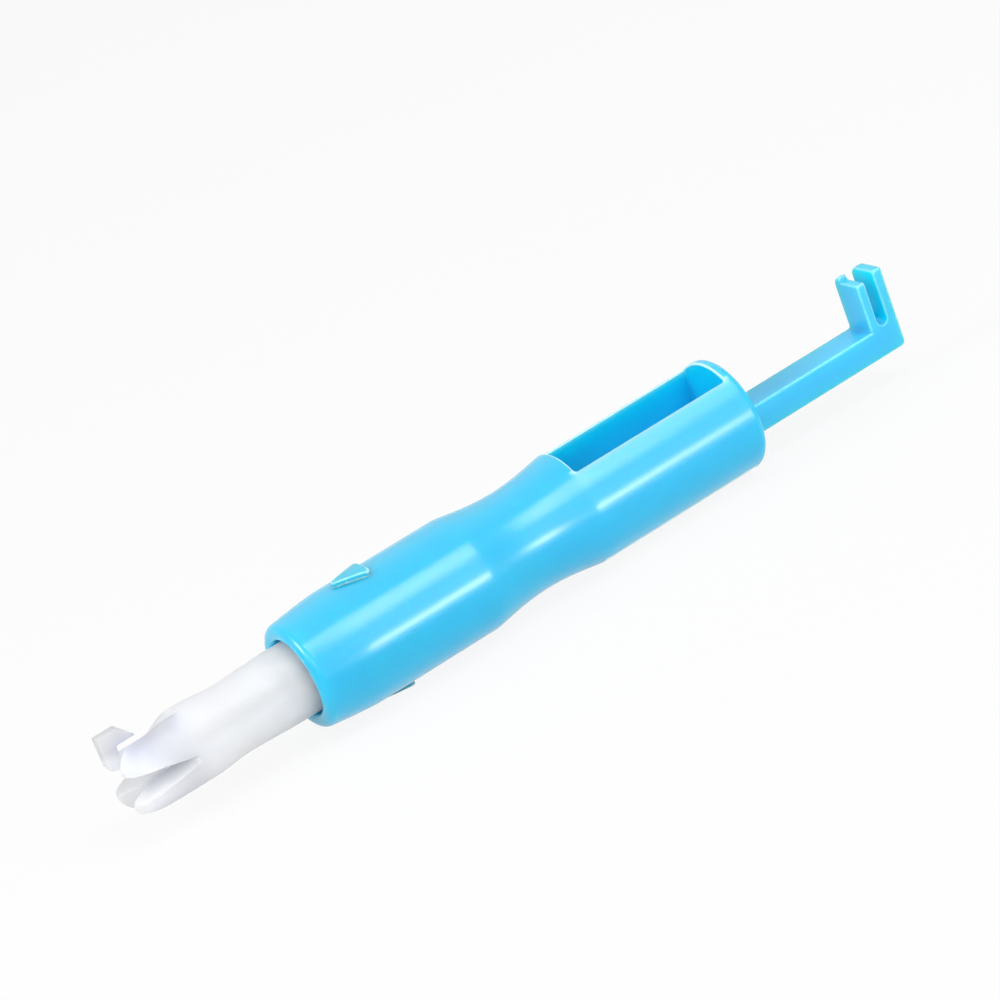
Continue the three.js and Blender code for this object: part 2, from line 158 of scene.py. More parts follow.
LUG_START = 5
LUG_LENGTH = 1.8
LUG_CREST = 0.5
LUG_REACH = 4.4
LUG_WIDTH = 2
LUG_TRAVEL = 4
LUG_ROOM = 0.3
LUG_SIDE_ROOM = 0.25
LUG_SINK = 0.4
GROOVE_REACH = 4.65
HEAD_GRAIN = 0.1
HEAD_SMOOTHING = 7

# How far the head's cutters reach from the axis, and where they start before its tip
HEAD_REACH = JAW_R + 2
BEFORE_TIP_X = TIP_X - CUT_PAST

# Stations along the jaws' noses, closer together towards the tip
JAW_NOSE_SHARES = (0.004, 0.01, 0.02, 0.04, 0.07, 0.1, 0.15, 0.22, 0.3, 0.42, 0.55, 0.7, 0.85, 1)
NEAR_JAW_SHARES = (0.01, 0.03, 0.06, 0.1, 0.16, 0.24, 0.34, 0.46, 0.6, 0.78, 1)

# The near upper jaw, lower and rounder than the far one
NEAR_JAW_R = 3.42
NEAR_JAW_LENGTH = 2.8
NEAR_JAW_POWER = 0.22
NEAR_JAW_EASE_X = -16.9
NEAR_JAW_END_X = -13.2
NEAR_JAW_CUT_END = NEAR_JAW_END_X - 0.1
NEAR_JAW_PROUD = 0.05

# Thread hook on the far upper jaw, and the thread gap under its barb
HOOK_HEIGHT = 5
HOOK_THICKNESS = 1.2
HOOK_TOP_LENGTH = 2.35
HOOK_LENGTH = 3.65
HOOK_FRONT_GAP = 0.05
BARB_Z = 3.5
THREAD_GAP = 1.1
THREAD_GAP_DEPTH = 2.05
THREAD_GAP_FLAT = 3.9
THREAD_RAMP = 2.4
THREAD_FALL = 0.5
BARB_X = TIP_X + HOOK_LENGTH
HOOK_OUTER_Y = SLIT_HALF + HOOK_THICKNESS
GAP_X = BARB_X - THREAD_GAP_DEPTH
GAP_FLOOR = BARB_Z - THREAD_GAP
RAMP_X = GAP_X + THREAD_GAP_FLAT
RAMP_END = RAMP_X + THREAD_RAMP

# Pin, its holder and the return spring
PIN_R = 0.3
PIN_START = SLIT_END - 0.45
PIN_END = 20.2
PIN_NOTCH_DEPTH = 0.25
PIN_CHAMFER = 0.05
PIN_SEAT_GAP = 0.05
PIN_SEAT_CHAMFER = 0.1
BOSS_X = 15.25
BOSS_R = 1.5
FLANGE_X = 21.25
FLANGE_R = 3.95
HOLDER_END = 23.95
HOLDER_EDGE = 0.15
TAIL_R = 1.3
TAIL_END = 29.25
TAIL_CHAMFER = 0.2
WIRE_R = 0.25
WIRE_SIDES = 12
WIRE_END_SHARE = 0.7
SPRING_R = 2.3
SPRING_TURNS = 10
SPRING_PER_TURN = 28
SPRING_START = 2.3
SPRING_END = 20.95

# Camera, from the photograph: heading from +Y towards +X, angle below the horizon, and roll
CAMERA_HEADING = math.radians(24.456)
CAMERA_DOWN = math.radians(22.860)
CAMERA_ROLL = math.radians(-21.377)
CAMERA_AIM = Vector((0.002520, 0.006462, 0.001765))
CAMERA_DISTANCE = 0.390
CAMERA_LENS = 144
CAMERA_SENSOR = 36

# Edges that bend more than this stay sharp in the shading, in degrees; a softened net has none
SHARP_ANGLE = 38
SOFTENED_ANGLE = 75

# Floor and room, in metres: the floor's half width, how far towards white the camera sees it,
# and the strength of the light from all round
FLOOR_HALF = 1.5
FLOOR_LIFT = 0.9
FLOOR_PALE = (0.68, 0.683, 0.686, 1)
FLOOR_PALER = (0.71, 0.712, 0.714, 1)
FLOOR_ROUGHNESS = 0.85
FLOOR_SPECULAR = 0.2
ROOM_LIGHT = 0.2

# How much a hairline scratch roughens a surface, and how deep it lies in the relief
SCRATCH_ROUGHNESS = 0.15
SCRATCH_DEPTH = 0.3


def steps(low, high, count):
    """Values from just after low up to high."""
    return [low + (high - low) * (i + 1) / count for i in range(count)]


def arc(x, y, size, start, end, count):
    """Points of an arc about (x, y), both ends included."""
    angles = [start + (end - start) * i / count for i in range(count + 1)]
    return [(x + size * math.cos(a), y + size * math.sin(a)) for a in angles]


def eased(share):
    """A share from 0 to 1 that starts and stops gently."""
    share = min(1, max(0, share))
    return share * share * (3 - 2 * share)


def surface(points, faces):
    """A closed mesh whose shared points are merged and whose faces look outwards."""
    shape = bmesh.new()
    made = [shape.verts.new(point) for point in points]
    for face in faces:
        shape.faces.new([made[i] for i in face])
    bmesh.ops.remove_doubles(shape, verts=shape.verts, dist=1e-5)
    bmesh.ops.recalc_face_normals(shape, faces=shape.faces)
    mesh = bpy.data.meshes.new("surface")
    shape.to_mesh(mesh)
    shape.free()
    return mesh


def rows_to_faces(rows, closed):
    """Quads between rows of point numbers, each row a closed ring or an open line."""
    faces = []
    for low, high in zip(rows, rows[1:]):
        for i in range(len(low) - (0 if closed else 1)):
            k = (i + 1) % len(low)
            faces.append((low[i], low[k], high[k], high[i]))
    return faces


def turned(profile, facets):
    """A solid turned about X from (x, radius) points that start and end on the axis."""
    points, rows = [], []
    for x, radius in profile:
        rows.append(range(len(points), len(points) + facets))
        angles = [2 * math.pi * (i + 0.5) / facets for i in range(facets)]
        points += [(x, radius * math.sin(a), radius * math.cos(a)) for a in angles]
    return surface(points, rows_to_faces(rows, True))


def prism(outline, low, high, lay):
    """A solid between two copies of a flat outline; lay turns (a, b, depth) into x, y and z."""
    count = len(outline)
    points = [lay(a, b, low) for a, b in outline] + [lay(a, b, high) for a, b in outline]
    faces = rows_to_faces([range(count), range(count, 2 * count)], True)
    return surface(points, faces + [range(count), range(count, 2 * count)])


def crossed(outline, low, high):
    """A side outline in X and Z, carried across the tool."""
    return prism(outline, low, high, lambda a, b, depth: (a, depth, b))


def lengthwise(outline, low, high):
    """An end outline in Y and Z, carried along the tool."""
    return prism(outline, low, high, lambda a, b, depth: (depth, a, b))


def box(x, y, z):
    return crossed([(x[0], z[0]), (x[1], z[0]), (x[1], z[1]), (x[0], z[1])], *y)


def shown(name, data):
    """A new object with this data, in the scene."""
    made = bpy.data.objects.new(name, data)
    bpy.context.scene.collection.objects.link(made)
    return made


def with_modifiers(mesh, *settings):
    """The mesh after these modifiers, each a type and a dict of its settings."""
    holder = shown("worked", mesh)
    for kind, values in settings:
        modifier = holder.modifiers.new(kind.lower(), kind)
        for key, value in values.items():
            setattr(modifier, key, value)
    seen = holder.evaluated_get(bpy.context.evaluated_depsgraph_get())
    result = bpy.data.meshes.new_from_object(seen)
    bpy.data.objects.remove(holder)
    return result


def joined(mesh, other, operation):
    """Two closed meshes added together, or the second cut from the first."""
    tool = shown("tool", other)
    result = with_modifiers(mesh, ("BOOLEAN", {
        "object": tool, "operation": operation, "solver": "EXACT",
    }))
    bpy.data.objects.remove(tool)
    return result


def cut(mesh, *others):
    for other in others:
        mesh = joined(mesh, other, "DIFFERENCE")
    return mesh


def softened(mesh, grain, rounds):
    """The same form in an even, fine net, its edges rounded over as a mould leaves them."""
    return with_modifiers(
        mesh,
        ("REMESH", {"mode": "VOXEL", "voxel_size": grain, "adaptivity": 0}),
        ("SMOOTH", {"factor": 0.5, "iterations": rounds}),
    )


def piece(name, mesh, body, material, sharp_angle=SHARP_ANGLE, node=None):
    """Brings a finished mesh to metres and shades it smooth between its sharp edges."""
    mesh.name = name
    mesh.transform(Matrix.Translation((FRONT_X, 0, 0)) @ Matrix.Scale(MM, 4))
    mesh.shade_smooth()
    mesh.set_sharp_from_angle(angle=math.radians(sharp_angle))
    mesh.materials.clear()
    mesh.materials.append(material)
    made = shown(name, mesh)
    normals = made.modifiers.new("even_shading", "WEIGHTED_NORMAL")
    normals.keep_sharp = True
    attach(made, body)
    if node:
        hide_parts(node)
    return made


def grip_radius(x):
    swell = max(0, 1 - x / NOSE_LENGTH)
    across = 2 * (x - WAIST_START) / WAIST_LENGTH - 1
    hollow = max(0, 1 - across * across)
    return GRIP_R - NOSE_DROP * swell ** NOSE_EASE - WAIST_DEPTH * hollow ** WAIST_EASE


def window_stations():
    return [CORNER_X[0]] + steps(*CORNER_X, 24)


def grip_profile():
    """The grip's outline as x and radius, from the bottom of the bore to the rear face."""
    front_r = grip_radius(FRONT_ROUND) - FRONT_ROUND
    rear_x = GRIP_LENGTH - REAR_ROUND
    profile = [(BORE_DEPTH, 0)] + [(x, BORE_R) for x in (BORE_DEPTH, *BORE_RINGS)]
    profile += arc(MOUTH_ROUND, BORE_R + MOUTH_ROUND, MOUTH_ROUND, -math.pi / 2, -math.pi, 8)
    profile += arc(FRONT_ROUND, front_r, FRONT_ROUND, math.pi, math.pi / 2, 12)
    stations = steps(FRONT_ROUND, NOSE_LENGTH, 20) + steps(NOSE_LENGTH, WAIST_START, 16)
    stations += steps(WAIST_START, RIM_X[0], 48) + window_stations()
    stations += [RIM_X[1], rear_x - REAR_RING_GAP]
    profile += [(x, grip_radius(x)) for x in stations]
    profile += arc(rear_x, GRIP_R - REAR_ROUND, REAR_ROUND, math.pi / 2, 0, 10)
    return profile + [(GRIP_LENGTH, 0)]


def window_rim(end_angles):
    """The window's outline: for each point x, the angle round the barrel and the outward normal."""
    centre_y = WINDOW_WIDTH / 2 - WINDOW_CORNER_R
    reach = WINDOW_CORNER_R + RIM_ROUND
    turns = steps(0, math.pi / 2, 8)[:-1]

    def corner(x, side, normals):
        return [(x + reach * normal[0],
                 math.asin((side * centre_y + reach * normal[1]) / RIM_BALL_R), normal)
                for normal in normals]

    rim = []
    for side in (1, -1):
        end_x, side_x = RIM_X[::side][0], window_stations()[::side]
        first_x, next_x = CORNER_X[::side]
        rim += [(end_x, side * a, (-side, 0)) for a in [-CORNER_ANGLE] + end_angles]
        rim += corner(first_x, side, [(-side * math.cos(t), side * math.sin(t)) for t in turns])
        rim += [(x, side * RIM_ANGLE, (0, side)) for x in side_x]
        rim += corner(next_x, side, [(side * math.sin(t), side * math.cos(t)) for t in turns])
    return rim


def on_rim(x, angle, normal, share):
    """A point on the rim's rounding, from the barrel's skin at 0 to the window's wall at 1."""
    radial = Vector((0, math.sin(angle), math.cos(angle)))
    inward = Vector((-normal[0], -normal[1], 0))
    centre = Vector((x, 0, 0)) + radial * (grip_radius(x) - RIM_ROUND)
    return centre + RIM_ROUND * radial.slerp(inward, share)


def on_wall(x, angle, normal, z, inset):
    """A point on the window's wall at a height, or set in from it over the floor."""
    foot = on_rim(x, angle, normal, 1)
    return (foot.x - normal[0] * inset, foot.y - normal[1] * inset, z)


def corner_fans(points, ring):
    """Faces between the barrel's net and the rim's first ring, at the window's four corners."""
    faces = []
    line = [points[i] for i in ring]
    for x, near_x in zip(RIM_X, CORNER_X):
        radius = grip_radius(x)
        for side in (1, -1):
            corner = len(points)
            points.append((x, side * radius * math.sin(RIM_ANGLE), radius * math.cos(RIM_ANGLE)))
            inside = [i for i, p in enumerate(line)
                      if min(x, near_x) - TINY <= p[0] <= max(x, near_x) + TINY
                      and side * math.asin(p[1] / grip_radius(p[0])) >= CORNER_ANGLE - TINY]
            if inside[0] == 0 and inside[-1] == len(line) - 1:
                inside = sorted(i - len(line) if i > len(line) / 2 else i for i in inside)
            faces += [(corner, ring[a], ring[b]) for a, b in zip(inside, inside[1:])]
    return faces


def grip_hollows():
    """Cutters for the snap lugs' groove, the hole for the holder's tail and the arm's socket."""
    half_lug = LUG_WIDTH / 2 + LUG_SIDE_ROOM
    groove = box(
        (LUG_START - LUG_ROOM, LUG_START + LUG_LENGTH + LUG_TRAVEL + LUG_ROOM),
        (-GROOVE_REACH, GROOVE_REACH), (-half_lug, half_lug),
    )
    tail_hole = turned([
        (BORE_DEPTH - CUT_PAST, 0), (BORE_DEPTH - CUT_PAST, TAIL_HOLE_R),
        (TAIL_HOLE_END, TAIL_HOLE_R), (TAIL_HOLE_END, 0),
    ], facets=48)
    arm_half = ARM_WIDTH / 2 + ARM_SEAT_GAP
    socket = box(
        (GRIP_LENGTH - ARM_ROOT - ARM_SEAT_GAP, GRIP_LENGTH + CUT_PAST),
        (-arm_half, arm_half), (-ARM_THICKNESS - ARM_SEAT_GAP, ARM_SEAT_GAP),
    )
    return groove, tail_hole, socket


def grip_shell():
    """The barrel as a net of rings and lengthwise lines, with the window's rim let into it."""
    end_angles = steps(-CORNER_ANGLE, CORNER_ANGLE, 30)
    side_angles = [RIM_ANGLE] + steps(RIM_ANGLE, 2 * math.pi - RIM_ANGLE, 128)
    angles = side_angles + [2 * math.pi - CORNER_ANGLE]
    angles += [2 * math.pi + a for a in end_angles[:-1]] + [2 * math.pi + CORNER_ANGLE]
    profile = grip_profile()
    points, rows, faces = [], [], []
    for x, radius in profile:
        rows.append(range(len(points), len(points) + len(angles)))
        points += [(x, radius * math.sin(a), radius * math.cos(a)) for a in angles]
    for i, ((low_x, low_r), (high_x, _)) in enumerate(zip(profile, profile[1:])):
        over_window = RIM_X[0] - TINY <= low_x and high_x <= RIM_X[1] + TINY and low_r > BORE_R
        strip = rows_to_faces(rows[i:i + 2], True)
        faces += strip[:len(side_angles) - 1] if over_window else strip

    rim = window_rim(end_angles)
    loops = [[on_rim(*place, i / 9) for place in rim] for i in range(10)]
    for turn in [0] + steps(0, math.pi / 2, 6):
        inset = FLOOR_FILLET * (1 - math.cos(turn))
        z = WINDOW_FLOOR_Z + FLOOR_FILLET - FLOOR_FILLET * math.sin(turn)
        loops.append([on_wall(*place, z, inset) for place in rim])
    rings = []
    for loop in loops:
        rings.append(range(len(points), len(points) + len(loop)))
        points += loop
    faces += rows_to_faces(rings, True)
    faces.append(rings[-1])
    faces += corner_fans(points, rings[0])
    return cut(surface(points, faces), *grip_hollows())


def arrow_mark(side):
    """One raised arrow with a rounded edge and a small foot, its top concentric with the barrel."""
    nose_x = MARK_TIP_X + MARK_NOSE_R
    corner_x = MARK_TIP_X + MARK_LENGTH - MARK_CORNER_R
    corner_y = MARK_WIDTH / 2 - MARK_CORNER_R
    run = math.hypot(corner_x - nose_x, corner_y)
    turn = math.atan2(corner_y, corner_x - nose_x)
    turn += math.acos((MARK_NOSE_R - MARK_CORNER_R) / run)

    def outline(inset):
        """Half the outline, from the tip round to the middle of the base."""
        nose = arc(nose_x, 0, MARK_NOSE_R - inset, math.pi, turn, 10)
        corner = arc(corner_x, corner_y, MARK_CORNER_R - inset, turn, 0, 10)
        slope = [(nose[-1][0] + (corner[0][0] - nose[-1][0]) * i / 12,
                  nose[-1][1] + (corner[0][1] - nose[-1][1]) * i / 12) for i in range(1, 12)]
        return nose + slope + corner

    def spot(x, y, radius):
        return (x, y, side * math.sqrt(radius * radius - y * y))

    points, faces = [], []
    top = GRIP_R + MARK_HEIGHT
    grid = []
    for x, y in outline(MARK_EDGE):
        grid.append(range(len(points), len(points) + MARK_ROWS + 1))
        points += [spot(x, y * (2 * k / MARK_ROWS - 1), top) for k in range(MARK_ROWS + 1)]
    faces += rows_to_faces(grid, False)

    levels = [(MARK_EDGE * (1 - math.sin(a)), top - MARK_EDGE * (1 - math.cos(a)))
              for a in [0] + steps(0, math.pi / 2, 5)]
    levels += [(-MARK_FOOT * (1 - math.cos(a)), GRIP_R + MARK_FOOT * (1 - math.sin(a)))
               for a in [0] + steps(0, math.pi / 2, 4)]
    levels += [(-MARK_FOOT, GRIP_R - MARK_SINK)]
    rings = []
    for inset, radius in levels:
        far = outline(inset)
        base = [(far[-1][0], far[-1][1] * (1 - 2 * k / MARK_ROWS)) for k in range(1, MARK_ROWS)]
        loop = far + base + [(x, -y) for x, y in far[::-1]][:-1]
        rings.append(range(len(points), len(points) + len(loop)))
        points += [spot(x, y, radius) for x, y in loop]
    faces += rows_to_faces(rings, True)
    faces.append(rings[-1])
    return surface(points, faces)


def needle_arm():
    """The flat bar and its upright head, with the needle slot and the lowered front prong."""
    half = ARM_WIDTH / 2
    slot_x = HEAD_START + FRONT_PRONG
    slot_r = NEEDLE_SLOT / 2
    root_x = GRIP_LENGTH - ARM_ROOT
    heel = (HEAD_END - HEAD_HEEL_R, HEAD_HEEL_R - ARM_THICKNESS, HEAD_HEEL_R)
    side = [(root_x, 0), (root_x, -ARM_THICKNESS)] + arc(*heel, -math.pi / 2, 0, 8)
    side += [(HEAD_END, HEAD_HEIGHT), (HEAD_START, HEAD_HEIGHT), (HEAD_START, 0)]
    top_z = HEAD_HEIGHT + CUT_PAST
    far_y = half + CUT_PAST
    slot = [(slot_x, top_z)]
    slot += arc(slot_x + slot_r, SLOT_FLOOR_Z + slot_r, slot_r, math.pi, 2 * math.pi, 20)
    slot += [(slot_x + NEEDLE_SLOT, top_z)]
    prong_cut = box(
        (HEAD_START - CUT_PAST, slot_x + slot_r), (-far_y, half - PRONG_NUB_WIDTH),
        (HEAD_HEIGHT - PRONG_CUT_DEPTH, top_z),
    )
    corner_y, corner_z = half - HEAD_CORNER_R, HEAD_HEIGHT - HEAD_CORNER_R
    corner = arc(corner_y, corner_z, HEAD_CORNER_R, 0, math.pi / 2, 12)
    corner += [(corner_y, top_z), (far_y, top_z), (far_y, corner_z)]
    arm = cut(
        crossed(side, -half, half), crossed(slot, -far_y, far_y), prong_cut,
        lengthwise(corner, HEAD_START - CUT_PAST, HEAD_END + CUT_PAST),
    )
    return softened(arm, ARM_GRAIN, ARM_SMOOTHING)


def head_radius(x):
    """The threader head's radius, from the blunt jaw tips back to the stem."""
    jaw_end = TIP_X + JAW_LENGTH
    if x < TIP_X + JAW_NOSE_LENGTH:
        along = (x - TIP_X) / JAW_NOSE_LENGTH
        return max(JAW_TIP_R, JAW_R * (1 - (1 - along) ** 2) ** JAW_NOSE_POWER)
    if x < NECK_X:
        return JAW_R + (NECK_R - JAW_R) * eased((x - jaw_end) / (NECK_X - jaw_end))
    return NECK_R + (STEM_R - NECK_R) * eased((x - NECK_X) / (STEM_START - NECK_X))


def head_blank():
    """The head as turned, with its two snap lugs, before anything is cut from it."""
    stations = [TIP_X + share * JAW_NOSE_LENGTH for share in JAW_NOSE_SHARES]
    stations += [TIP_X + JAW_LENGTH] + steps(TIP_X + JAW_LENGTH, NECK_X, 12)
    stations += steps(NECK_X, STEM_START, 12)
    profile = [(TIP_X, 0), (TIP_X, JAW_TIP_R)] + [(x, head_radius(x)) for x in stations]
    profile += [(STEM_END - STEM_CHAMFER, STEM_R), (STEM_END, STEM_R - STEM_CHAMFER), (STEM_END, 0)]
    blank = turned(profile, facets=128)
    lug_root = STEM_R - LUG_SINK
    outline = [(LUG_START, lug_root), (LUG_START, LUG_REACH),
               (LUG_START + LUG_CREST, LUG_REACH), (LUG_START + LUG_LENGTH, lug_root)]
    for side in (1, -1):
        lug = prism(outline, -LUG_WIDTH / 2, LUG_WIDTH / 2,
                    lambda a, b, depth: (a, side * b, depth))
        blank = joined(blank, lug, "UNION")
    return blank


def stem_hollows():
    """Cutters for the pin's channel, the spring's pocket and the slit that lets the stem flex."""
    start, end = SLIT_END - CUT_PAST, STEM_END + CUT_PAST
    inside = turned([
        (start, 0), (start, PIN_CHANNEL_R), (POCKET_X, PIN_CHANNEL_R),
        (POCKET_X, POCKET_R), (end, POCKET_R), (end, 0),
    ], facets=64)
    half = STEM_SLIT_WIDTH / 2
    slit_x = (STEM_END - STEM_SLIT_LENGTH, end)
    return inside, box(slit_x, (-half, half), (-HEAD_REACH, HEAD_REACH))


def thread_cuts():
    """Cutters for the thread gap under the barb with its ramp, and the shoulder falling away."""
    gap = crossed([
        (GAP_X, GAP_FLOOR), (RAMP_X, GAP_FLOOR), (RAMP_END, JAW_R), (RAMP_END, HEAD_REACH),
        (BARB_X, HEAD_REACH), (BARB_X, BARB_Z), (GAP_X, BARB_Z),
    ], SLIT_HALF, HOOK_OUTER_Y)
    shoulder = prism([
        (BEFORE_TIP_X, GAP_FLOOR), (RAMP_X, GAP_FLOOR), (RAMP_END, JAW_R),
        (RAMP_END, 2 * HEAD_REACH), (BEFORE_TIP_X, 2 * HEAD_REACH),
    ], HOOK_OUTER_Y, HEAD_REACH,
        lambda a, b, depth: (a, depth, b - (depth - HOOK_OUTER_Y) * THREAD_FALL))
    return gap, shoulder


def near_jaw_cut():
    """What comes off the near upper jaw to leave it lower and rounder than the far one."""
    nose = [(TIP_X + share * NEAR_JAW_LENGTH,
             NEAR_JAW_R * (1 - (1 - share) ** 2) ** NEAR_JAW_POWER) for share in NEAR_JAW_SHARES]
    rise = JAW_R + NEAR_JAW_PROUD - NEAR_JAW_R
    slope = [(x, NEAR_JAW_R + rise * eased(share)) for share, x in zip(
        steps(0, 1, 12), steps(NEAR_JAW_EASE_X, NEAR_JAW_END_X, 12))]
    kept = turned([(TIP_X, 0)] + nose + slope + [(NEAR_JAW_END_X, 0)], facets=128)
    return cut(box((BEFORE_TIP_X, NEAR_JAW_CUT_END), (-HEAD_REACH, 0), (0, HEAD_REACH)), kept)


def thread_hook():
    front = TIP_X + HOOK_FRONT_GAP
    return crossed([
        (front, JAW_TIP_R), (front + JAW_TIP_R / 2, NOTCH_ROOT_R), (GAP_X, NOTCH_ROOT_R),
        (GAP_X, BARB_Z), (BARB_X, BARB_Z), (TIP_X + HOOK_TOP_LENGTH, HOOK_HEIGHT),
        (front, HOOK_HEIGHT),
    ], SLIT_HALF, HOOK_OUTER_Y)


def notch_cuts():
    """Cutters for the V notch between the jaws, the slit that splits them and its flared mouth."""
    root_x = TIP_X + NOTCH_DEPTH - NOTCH_ROOT_R
    touch_x = root_x + NOTCH_ROOT_R * math.sin(NOTCH_HALF_ANGLE)
    touch_z = NOTCH_ROOT_R * math.cos(NOTCH_HALF_ANGLE)
    lead_x = TIP_X + NOTCH_LEAD
    lead_z = touch_z + (touch_x - lead_x) * math.tan(NOTCH_HALF_ANGLE)
    mouth_z = lead_z + NOTCH_LEAD + CUT_PAST
    quarter = math.pi / 2 - NOTCH_HALF_ANGLE
    notch = crossed(
        [(BEFORE_TIP_X, -mouth_z), (lead_x, -lead_z)]
        + arc(root_x, 0, NOTCH_ROOT_R, -quarter, quarter, 16)
        + [(lead_x, lead_z), (BEFORE_TIP_X, mouth_z)], -HEAD_REACH, HEAD_REACH)
    slit = box((BEFORE_TIP_X, SLIT_END), (-SLIT_HALF, SLIT_HALF), (-HEAD_REACH, HEAD_REACH))
    widening = (SLIT_MOUTH / 2 - SLIT_HALF) / (SLIT_FLARE_X - TIP_X)
    mouth_half = SLIT_MOUTH / 2 + widening * CUT_PAST
    flare = [(BEFORE_TIP_X, -mouth_half), (SLIT_FLARE_X, -SLIT_HALF),
             (SLIT_FLARE_X, 0), (BEFORE_TIP_X, 0)]
    near_flare = prism(flare, -HEAD_REACH, HEAD_REACH, lambda a, b, depth: (a, b, depth))
    far_flare = prism(flare, -HEAD_REACH, 0, lambda a, b, depth: (a, -b, depth))
    return notch, slit, near_flare, far_flare


def threader_head():
    body = cut(head_blank(), *stem_hollows(), *thread_cuts(), near_jaw_cut())
    body = cut(joined(body, thread_hook(), "UNION"), *notch_cuts())
    return softened(body, HEAD_GRAIN, HEAD_SMOOTHING)


def pusher_pin():
    """A straight wire whose end is notched to catch the thread."""
    wire = turned([
        (PIN_START, 0), (PIN_START, PIN_R), (PIN_END - PIN_CHAMFER, PIN_R),
        (PIN_END, PIN_R - PIN_CHAMFER), (PIN_END, 0),
    ], facets=40)
    mouth_x, mouth_z = PIN_START - CUT_PAST, PIN_R + CUT_PAST
    catch = crossed([
        (mouth_x, -mouth_z), (PIN_START + PIN_NOTCH_DEPTH, 0), (mouth_x, mouth_z),
    ], -CUT_PAST, CUT_PAST)
    return cut(wire, catch)


def pin_holder():
    """The turned holder: a boss with the pin's seat, a flange that fills the bore, and a tail."""
    seat_r = PIN_R + PIN_SEAT_GAP
    quarter, edge = math.pi / 2, HOLDER_EDGE
    return turned([
        (PIN_END + PIN_SEAT_GAP, 0), (PIN_END + PIN_SEAT_GAP, seat_r),
        (BOSS_X + PIN_SEAT_CHAMFER, seat_r), (BOSS_X, seat_r + PIN_SEAT_CHAMFER),
        *arc(BOSS_X + edge, BOSS_R - edge, edge, math.pi, quarter, 5),
        (FLANGE_X, BOSS_R), *arc(FLANGE_X + edge, FLANGE_R - edge, edge, math.pi, quarter, 5),
        *arc(HOLDER_END - edge, FLANGE_R - edge, edge, quarter, 0, 5),
        (HOLDER_END, TAIL_R), (TAIL_END - TAIL_CHAMFER, TAIL_R),
        (TAIL_END, TAIL_R - TAIL_CHAMFER), (TAIL_END, 0),
    ], facets=72)


def return_spring():
    """A round wire along a helix, its ends rounded over."""
    count = SPRING_TURNS * SPRING_PER_TURN
    pitch = (SPRING_END - SPRING_START) / SPRING_TURNS
    points, rows = [], []
    for i in range(count + 1):
        turn = 2 * math.pi * i / SPRING_PER_TURN
        outward = Vector((0, math.cos(turn), math.sin(turn)))
        forward = Vector((0, -math.sin(turn), math.cos(turn)))
        along = Vector((pitch, 0, 0)) + forward * 2 * math.pi * SPRING_R
        across = along.normalized().cross(outward)
        centre = outward * SPRING_R + Vector((SPRING_START + pitch * i / SPRING_PER_TURN, 0, 0))
        size = WIRE_R * (WIRE_END_SHARE if i in (0, count) else 1)
        rows.append(range(len(points), len(points) + WIRE_SIDES))
        for k in range(WIRE_SIDES):
            angle = 2 * math.pi * k / WIRE_SIDES
            side = outward * math.cos(angle) + across * math.sin(angle)
            points.append(centre + side * size)
    return surface(points, rows_to_faces(rows, True) + [rows[0], rows[-1]])


def node(tree, kind, inputs=(), **settings):
    """Adds a shader node. Inputs pair a socket's name or number with a value or another socket."""
    made = tree.nodes.new(kind)
    for key, value in settings.items():
        setattr(made, key, value)
    for socket, value in inputs:
        if isinstance(value, bpy.types.NodeSocket):
            tree.links.new(value, made.inputs[socket])
        else:
            made.inputs[socket].default_value = value
    return made


def math_node(tree, operation, first, second=0.5):
    made = node(tree, "ShaderNodeMath", [(0, first), (1, second)], operation=operation)
    return made.outputs[0]


def times(tree, first, *others):
    """The product of two or more values."""
    for other in others:
        first = math_node(tree, "MULTIPLY", first, other)
    return first


def spread(tree, value, low, high, to_low=0.0, to_high=1.0, interpolation="SMOOTHSTEP"):
    """The value, eased from one range into another."""
    return node(tree, "ShaderNodeMapRange", [
        ("Value", value), ("From Min", low), ("From Max", high),
        ("To Min", to_low), ("To Max", to_high),
    ], interpolation_type=interpolation).outputs["Result"]


def fade(tree, value, low, high, to_low=0.0, to_high=1.0):
    """A distance, eased from one range in millimetres into another."""
    return spread(tree, value, low * MM, high * MM, to_low, to_high)


def effect(name, inputs, outputs):
    """An empty node group with these float or colour sockets, and its input and output nodes."""
    group = bpy.data.node_groups.new(name, "ShaderNodeTree")
    for direction, sockets in (("INPUT", inputs), ("OUTPUT", outputs)):
        for label, default in sockets:
            kind = "NodeSocketColor" if isinstance(default, tuple) else "NodeSocketFloat"
            socket = group.interface.new_socket(label, in_out=direction, socket_type=kind)
            if direction == "INPUT":
                socket.default_value = default
    given = group.nodes.new("NodeGroupInput").outputs
    return group, given, group.nodes.new("NodeGroupOutput").inputs


def in_place(tree, stretch=(1, 1, 1)):
    """Coordinates of the piece itself in millimetres, stretched along an axis."""
    where = node(tree, "ShaderNodeTexCoord").outputs["Object"]
    scale = Vector(stretch) / MM
    return node(tree, "ShaderNodeMapping", [("Vector", where), ("Scale", scale)]).outputs["Vector"]


def noise(tree, where, scale, detail=3.0, roughness=0.5):
    return node(tree, "ShaderNodeTexNoise", [
        ("Vector", where), ("Scale", scale), ("Detail", detail), ("Roughness", roughness),
    ]).outputs["Fac"]


def mixed(tree, share, first, second):
    """Two colours mixed by a share of the second."""
    return node(tree, "ShaderNodeMix", [(0, share), (6, first), (7, second)],
                data_type="RGBA", blend_type="MIX").outputs[2]


